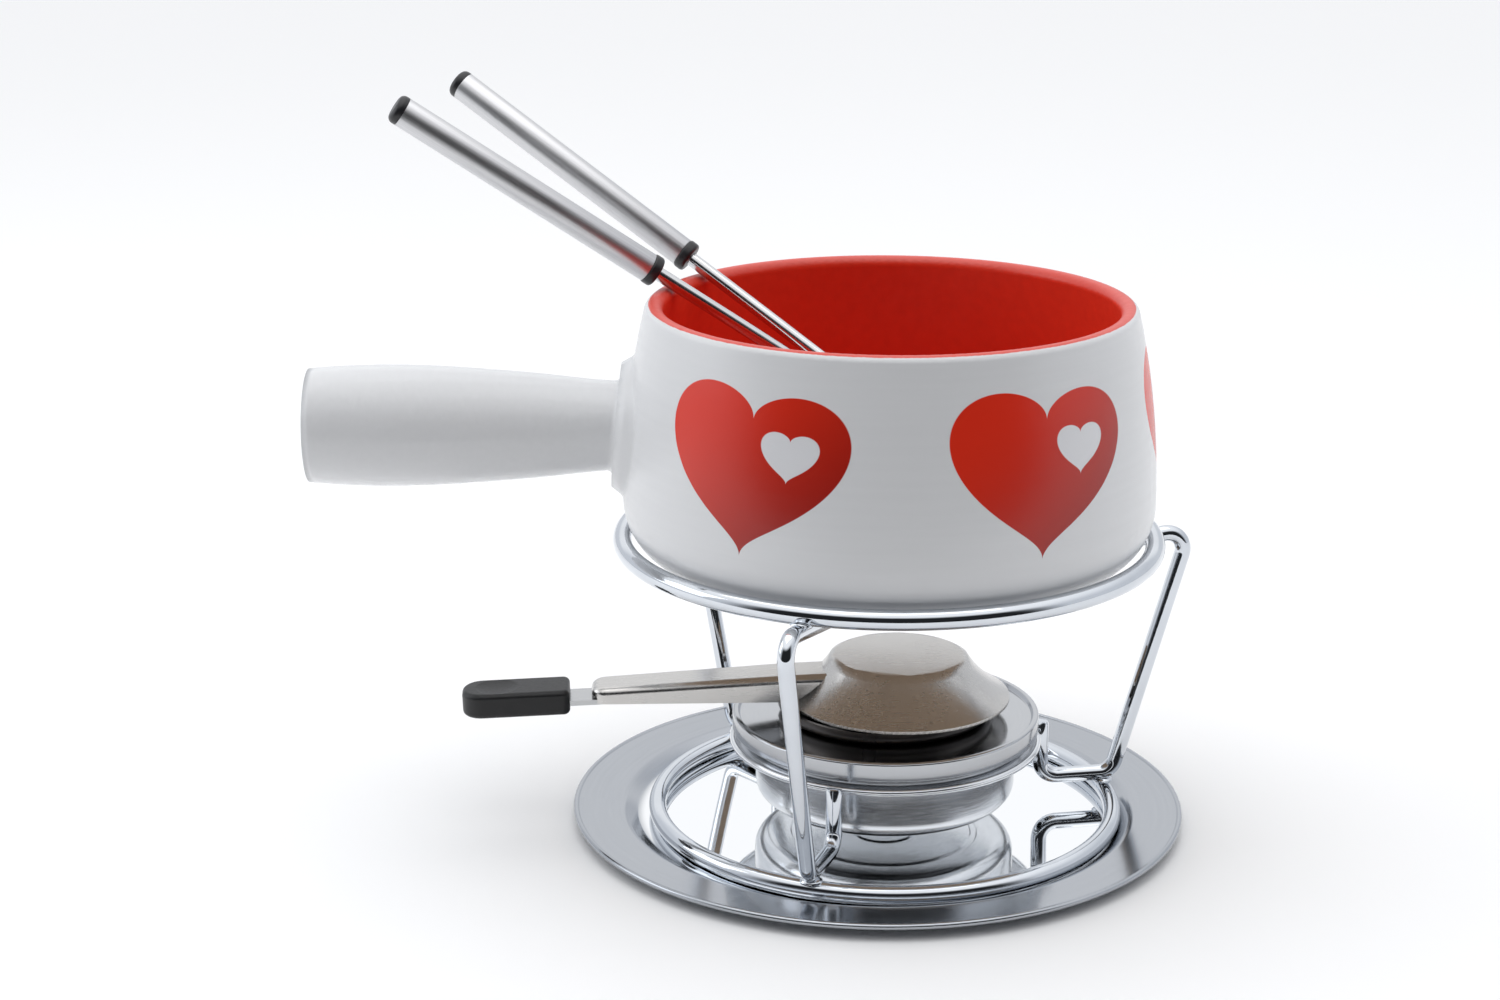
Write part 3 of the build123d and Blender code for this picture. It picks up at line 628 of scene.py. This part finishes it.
# %% Tray
tray_out = (tray_high.x - tray_low.x) / 2 / MM
tray_sheet = 1.0
well = well_edge / MM
flange_end = tray_out - tray_sheet
tray_path = [(0, 0), (well, 0), (well + 5.2, 3.2), (flange_end, 4.1)]
under, over = sheet_outline(tray_path, [0, 2.5, 4.0, 0], tray_sheet, 8)
edge = bead((flange_end, 4.1 + tray_sheet / 2), tray_sheet, -150, 150, 14)
tray_mesh = spun_mesh("tray_sheet", under[:-1] + edge + over[-2::-1], 256)
tray_mesh.transform(Matrix.Translation((*tray_middle, 0)))
finished_piece("tray_sheet", tray_mesh, tray_mirror, "tray", ["tray"], 40)

# %% [markdown]
# ## The wire stand
#
# The stand is plated wire: a foot ring, a larger ring round the pot and three legs, all welded
# where they cross. A ring could be a curve with a round bevel, but a spun circle gives the same
# mesh in one step. A leg is one wire with bends, so a circle is carried along its rounded line.

# %% Rings
wire_sides = 32


def wire_ring(name, node):
    """A round wire bent into a circle, as large as the part's ring; gives its measures."""
    low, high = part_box(node)
    wire = (high.z - low.z) / 2 / MM
    radius, height = high.x / MM - wire, (high.z + low.z) / 2 / MM
    last = wire_sides - 1
    section = bead((radius, height), wire, 0, 360 * last / wire_sides, last)
    finished_piece(name, spun_mesh(name, section, 240), stand_chrome, "stand", [node])
    return radius, height, wire


foot_ring_radius, foot_ring_height, foot_wire = wire_ring("foot_ring", "base_ring")
ring_radius, ring_height, ring_wire = wire_ring("carrying_ring", "pot_ring")


# %% Leg helper
def wire_mesh(name, line, radius):
    """A round wire along a flat line of (distance out, height), with softened ends."""
    sides = 24
    made = bmesh.new()
    points = [Vector((p[0], 0, p[1])) for p in line]
    rings = []
    for i, point in enumerate(points):
        ahead = (points[min(i + 1, len(points) - 1)] - points[max(i - 1, 0)]).normalized()
        across = Vector((0, 1, 0))
        up = ahead.cross(across)
        ring = [point + (across * cos(2 * pi * k / sides) + up * sin(2 * pi * k / sides)) * radius
                for k in range(sides)]
        rings.append(ring)
    for end, way in ((0, points[0] - points[1]), (-1, points[-1] - points[-2])):
        tip, back = points[end], way.normalized() * -radius
        flat = [tip + (v - tip) * 0.62 for v in rings[end]]
        bevel = [tip + (v - tip) * 0.88 + back * 0.11 for v in rings[end]]
        rings[end] = [v + back * 0.38 for v in rings[end]]
        rings = [flat, bevel] + rings if end == 0 else rings + [bevel, flat]
    layers = [[made.verts.new(v * MM) for v in ring] for ring in rings]
    for a, b in zip(layers, layers[1:]):
        for k in range(sides):
            made.faces.new((a[k], a[(k + 1) % sides], b[(k + 1) % sides], b[k]))
    made.faces.new(layers[0])
    made.faces.new(reversed(layers[-1]))
    bmesh.ops.recalc_face_normals(made, faces=made.faces)
    mesh = bpy.data.meshes.new(name)
    made.to_mesh(mesh)
    made.free()
    return mesh


# %% [markdown]
# The leg's line starts under the pot with a finger that rises a little outwards, turns down to the
# foot ring, runs in under the burner and ends in an upright hook. The leg leans so that it passes
# the pot ring's outside, and its top corner is worked out as the place where the sloping finger and
# the leaning leg cross.

# %% Leg line
leg_wire = 2.75
weld_depth = 0.4
finger_slope = radians(9.6)
finger_length = 26.5
finger_rise = tan(finger_slope)
finger_height = ring_height - (ring_wire + leg_wire - weld_depth) / cos(finger_slope)
foot_height = foot_ring_height + foot_wire + leg_wire - weld_depth
foot_radius = foot_ring_radius + 3.0
rim_low, rim_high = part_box("burner_bowl")
rim_radius = rim_high.x / MM
rim_top = rim_high.z / MM
hook_radius = rim_radius + 2.1
hook_above_rim = 0.8
passes_outside, passes_below = 13.9, 14.5
leg_lean = (ring_radius + passes_outside - foot_radius) / (ring_height - passes_below - foot_height)
finger_at_axis = finger_height - ring_radius * finger_rise
top_radius = (foot_radius + (finger_at_axis - foot_height) * leg_lean) / (1 - finger_rise * leg_lean)
top_height = finger_at_axis + top_radius * finger_rise
leg_corners = [
    (ring_radius - finger_length, finger_height - finger_length * finger_rise),
    (top_radius, top_height),
    (foot_radius, foot_height),
    (hook_radius, foot_height),
    (hook_radius, rim_top + hook_above_rim),
]
bend = 6
leg_line = rounded(leg_corners, [0, bend, bend, bend, 0], 12)
print("leg corners", [(round(a, 1), round(b, 1)) for a, b in leg_corners])


# %% [markdown]
# The burner's rim rests in a rebate filed into each hook. A filed seat is a clean cut, and a
# Boolean with a block of the right outline gives one, on a wire that is already round.

# %% Cutting helpers
def cut_away(mesh, cutter_mesh):
    """Cuts one mesh out of another with a Boolean, and keeps the result."""
    whole = bpy.data.objects.new("whole", mesh)
    cutter = bpy.data.objects.new("cutter", cutter_mesh)
    for thing in (whole, cutter):
        bpy.context.scene.collection.objects.link(thing)
    cut = whole.modifiers.new("cut", "BOOLEAN")
    cut.operation = "DIFFERENCE"
    cut.solver = "EXACT"
    cut.object = cutter
    result = bpy.data.meshes.new_from_object(whole.evaluated_get(bpy.context.evaluated_depsgraph_get()))
    result.name = mesh.name
    for thing in (whole, cutter):
        bpy.data.objects.remove(thing)
    return result


def block_mesh(profile, half_width):
    """A cutter: a flat outline of (distance out, height) pulled to both sides."""
    made = bmesh.new()
    near = [made.verts.new((p[0] * MM, -half_width * MM, p[1] * MM)) for p in profile]
    far = [made.verts.new((p[0] * MM, half_width * MM, p[1] * MM)) for p in profile]
    made.faces.new(near)
    made.faces.new(reversed(far))
    for k in range(len(profile)):
        made.faces.new((near[k], far[k], far[(k + 1) % len(far)], near[(k + 1) % len(near)]))
    bmesh.ops.recalc_face_normals(made, faces=made.faces)
    mesh = bpy.data.meshes.new("cutter")
    made.to_mesh(mesh)
    made.free()
    return mesh


# %% Legs
beyond = 5.5
seat, shelf = rim_top - 2.8, rim_radius + 0.5
rebate = [
    (hook_radius - beyond, seat),
    (shelf, seat),
    (shelf, rim_top - 0.2),
    (hook_radius + beyond, rim_top + 3.2),
    (hook_radius - beyond, rim_top + 3.2),
]
leg_turns = {"leg_front": -110, "leg_right": 10, "leg_back": 130}
for leg_name, leg_turn in leg_turns.items():
    wire = cut_away(wire_mesh(leg_name + "_wire", leg_line, leg_wire), block_mesh(rebate, beyond))
    wire.transform(Matrix.Rotation(radians(leg_turn), 4, "Z"))
    finished_piece(leg_name + "_wire", wire, stand_chrome, "stand", [leg_name], 38)

# %% [markdown]
# Each crossing is welded, and the plating is put on afterwards, so the weld is a small bright lump
# in the corner between the wires. A lump is a ball pressed flat and made a little uneven.

# %% Weld beads
sunk = weld_depth / 2
weld_spots = [(ring_radius, ring_height - ring_wire + sunk),
              (foot_ring_radius, foot_ring_height + foot_wire - sunk)]
bead_half = Vector((3.3, 3.9, 1.5))
unevenness = 0.16
made = bmesh.new()
for leg_turn in leg_turns.values():
    for out, up in weld_spots:
        lump = bmesh.ops.create_icosphere(made, subdivisions=3, radius=1.0)["verts"]
        for vert in lump:
            swell = 1 + unevenness * noise.noise(vert.co * 1.8 + Vector((leg_turn, up, 0)))
            vert.co = vert.co * bead_half * swell * MM
        place = Matrix.Rotation(radians(leg_turn), 4, "Z") @ Matrix.Translation((out * MM, 0, up * MM))
        bmesh.ops.transform(made, matrix=place, verts=lump)
beads = bpy.data.meshes.new("weld_beads")
made.to_mesh(beads)
made.free()
finished_piece("weld_beads", beads, stand_chrome, "stand", [])


# %% [markdown]
# ## Pieces taken over from the part
#
# The pot, the lid, the arm and a few small pieces keep the shape of the CAD mesh. That mesh is made
# of long thin triangles that aren't joined at their edges, so each piece is a joined copy whose
# normals are weighted by the size of the faces, which makes flat faces flat and curves smooth.

# %% Joined copies
def joined_copy(node, name, material, body, sharp=30.0):
    """A piece made of the part's own mesh, with its edges joined and its shading evened."""
    made = bmesh.new()
    made.from_mesh(cad_nodes[node].data)
    bmesh.ops.remove_doubles(made, verts=made.verts, dist=2e-6)
    bmesh.ops.dissolve_degenerate(made, edges=made.edges, dist=1e-7)
    mesh = bpy.data.meshes.new(name)
    made.to_mesh(mesh)
    made.free()
    piece = finished_piece(name, mesh, material, body, [node], sharp)
    even = piece.modifiers.new("even_shading", "WEIGHTED_NORMAL")
    even.keep_sharp = True


joined_copy("pot", "pot_glazed", pot_glaze, "pot", 40)
joined_copy("snuffer_lid", "lid_pressed", lid_steel, "lid", 25)
joined_copy("regulator_dish", "regulator_dish_pressed", dark_steel, "regulator")
joined_copy("regulator_arm", "regulator_arm_strip", lever_steel, "regulator")
joined_copy("arm_rivets", "arm_rivet_pair", lever_steel, "regulator")
joined_copy("lever_grip", "lever_grip_moulded", grip_plastic, "regulator")
joined_copy("paste_cup", "paste_cup_spun", cup_aluminium, "burner")
joined_copy("flame_screen", "flame_screen_pierced", screen_steel, "burner")

# %% [markdown]
# ## The burner
#
# The burner's body is a spun bowl with a wide flange and a rolled rim. Two pressed rings stiffen
# its base. It is drawn like the tray: from the middle of the base, round the two rings, up the wall
# and out along the flange.

# %% Bowl
bowl_low = rim_low.z / MM
bowl_sheet, bowl_depth, bowl_wall = 0.9, 20.0, 44.5
roll = 1.25
bowl_path, bowl_bends = [(0, bowl_low)], [0]
for ring_middle in (12.0, 31.0):
    for out, up, turned in ((-1.4, 0, 0.4), (-0.8, 0.45, 0.3), (0.8, 0.45, 0.3), (1.4, 0, 0.4)):
        bowl_path.append((ring_middle + out, bowl_low + up))
        bowl_bends.append(turned)
bowl_path += [(bowl_wall, bowl_low), (bowl_wall, bowl_low + bowl_depth),
              (rim_radius - roll, bowl_low + bowl_depth)]
under, over = sheet_outline(bowl_path, bowl_bends + [6.0, 1.6, 0], bowl_sheet, 8)
rim = bead((rim_radius - roll, bowl_low + bowl_depth + bowl_sheet / 2), roll, -158, 158, 16)
finished_piece("bowl_spun", spun_mesh("bowl_spun", under[:-1] + rim + over[-2::-1], 224),
               burner_steel, "burner", ["burner_bowl"], 40)

# %% [markdown]
# The collar sits on the bowl's flange. It has a foot, a skirt with a small raised edge, a polished
# top that falls away slightly to the outside, and a short neck that the regulator turns round. Six
# air ports are punched through the top. A punch is a round cutter, so that is what cuts them here.

# %% Collar
collar_low, collar_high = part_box("burner_collar")
foot = collar_low.z / MM
collar_sheet = 0.8
skirt_foot, skirt, neck = 50.2, 52.5, 22.9
skirt_low, skirt_top, face_low, face_high, neck_top = 3.1, 9.7, 8.3, 9.1, 10.9
collar_path = [(skirt_foot, foot), (skirt_foot, foot + skirt_low), (skirt, foot + skirt_low),
               (skirt, foot + skirt_top), (50.6, foot + skirt_top), (49.9, foot + face_low),
               (37.5, foot + face_high), (neck, foot + face_high), (neck, foot + neck_top),
               (25.2, foot + neck_top)]
collar_bends = [0, 0.3, 0.9, 0.8, 0.3, 0.3, 2.0, 0.3, 0.3, 0]
outer, inner = sheet_outline(collar_path, collar_bends, collar_sheet, 5)
collar_mesh = spun_mesh("collar_spun", outer + inner[::-1], 224)

# %% Air ports
ports, port_radius, ports_out, first_port = 6, 3.0, 29.5, 213
port_cutters = bmesh.new()
for k in range(ports):
    port_turn = Matrix.Rotation(radians(first_port + 360 / ports * k), 3, "Z")
    punch = Matrix.Translation(port_turn @ Vector((ports_out, 0, foot + face_high)) * MM)
    bmesh.ops.create_cone(port_cutters, cap_ends=True, segments=40, radius1=port_radius * MM,
                          radius2=port_radius * MM, depth=2 * port_radius * MM, matrix=punch)
cutter = bpy.data.meshes.new("ports")
port_cutters.to_mesh(cutter)
port_cutters.free()
finished_piece("collar_spun", cut_away(collar_mesh, cutter), collar_mirror, "burner",
               ["burner_collar"], 30)

# %% [markdown]
# ## The forks
#
# Each fork is a polished rod in a brushed tube, with a black ferrule at one end of the tube and a
# black domed cap at the other. The parts are spun upright and then laid along the fork's own line,
# which is the line that the part's joint draws it out on. Each point remembers where it was while
# upright, and the brushing is read from there, so it runs lengthwise.

# %% Fork lines
fork_lines = {joint["child"]: Vector(joint["axis"]).normalized()
              for joint in frame["joints"] if joint["name"].endswith("_draw")}
print("forks lie along", {fork: tuple(round(x, 3) for x in way) for fork, way in fork_lines.items()})


# %% Laying helper
def laid_piece(name, outline, along, origin, material, body, node):
    """Spins a piece upright, notes each point's upright place, and lays it along the fork's line."""
    mesh = spun_mesh(name, outline, 64)
    upright = mesh.attributes.new("upright", "FLOAT_VECTOR", "POINT")
    for vertex, mark in zip(mesh.vertices, upright.data):
        mark.vector = vertex.co
    mesh.transform(Matrix.Translation(origin) @ along.to_track_quat("Z", "Y").to_matrix().to_4x4())
    finished_piece(name, mesh, material, body, [node], 35)


# %% Fork outlines
tube_length, tube_radius, tube_bore, rod_bore, ferrule_radius = 96.5, 5.0, 4.5, 2.4, 5.3
half = tube_length / 2
spigot = half - 9.0
face = half + 3.6
crown = half + 3.1
tube_outline = rounded([(tube_bore, -half), (tube_radius, -half), (tube_radius, half), (tube_bore, half)],
                       [0, 0.12, 0.12, 0], 2)
ferrule_outline = rounded([(rod_bore, -face), (ferrule_radius, -face), (ferrule_radius, -half),
                           (tube_bore, -half), (tube_bore, -spigot), (rod_bore, -spigot)],
                          [0, 1.1, 0.7, 0, 0, 0], 6)
cap_outline = rounded([(0, spigot), (tube_bore, spigot), (tube_bore, half), (tube_radius, half),
                       (tube_radius, crown), (0, crown)], [0, 0, 0, 0.2, 2.0, 0], 10)
print("tube", tube_length, "mm, cap to ferrule", round(face + crown, 1), "mm")

# %% Both forks
turned_parts = [
    ("tube", "brushed", tube_outline, tube_steel, "tube_steel"),
    ("ferrule", "black", ferrule_outline, fork_trim, "fork_trim"),
    ("cap", "black", cap_outline, fork_trim, "fork_trim"),
]
for fork, along in sorted(fork_lines.items()):
    low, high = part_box(fork + "_tube")
    for part, look, outline, material, slot in turned_parts:
        laid_piece(f"{fork}_{part}_{look}", outline, along, (low + high) / 2, material, fork,
                   f"{fork}_{part}")
    joined_copy(fork + "_rod", fork + "_rod_polished", rod_steel, fork)
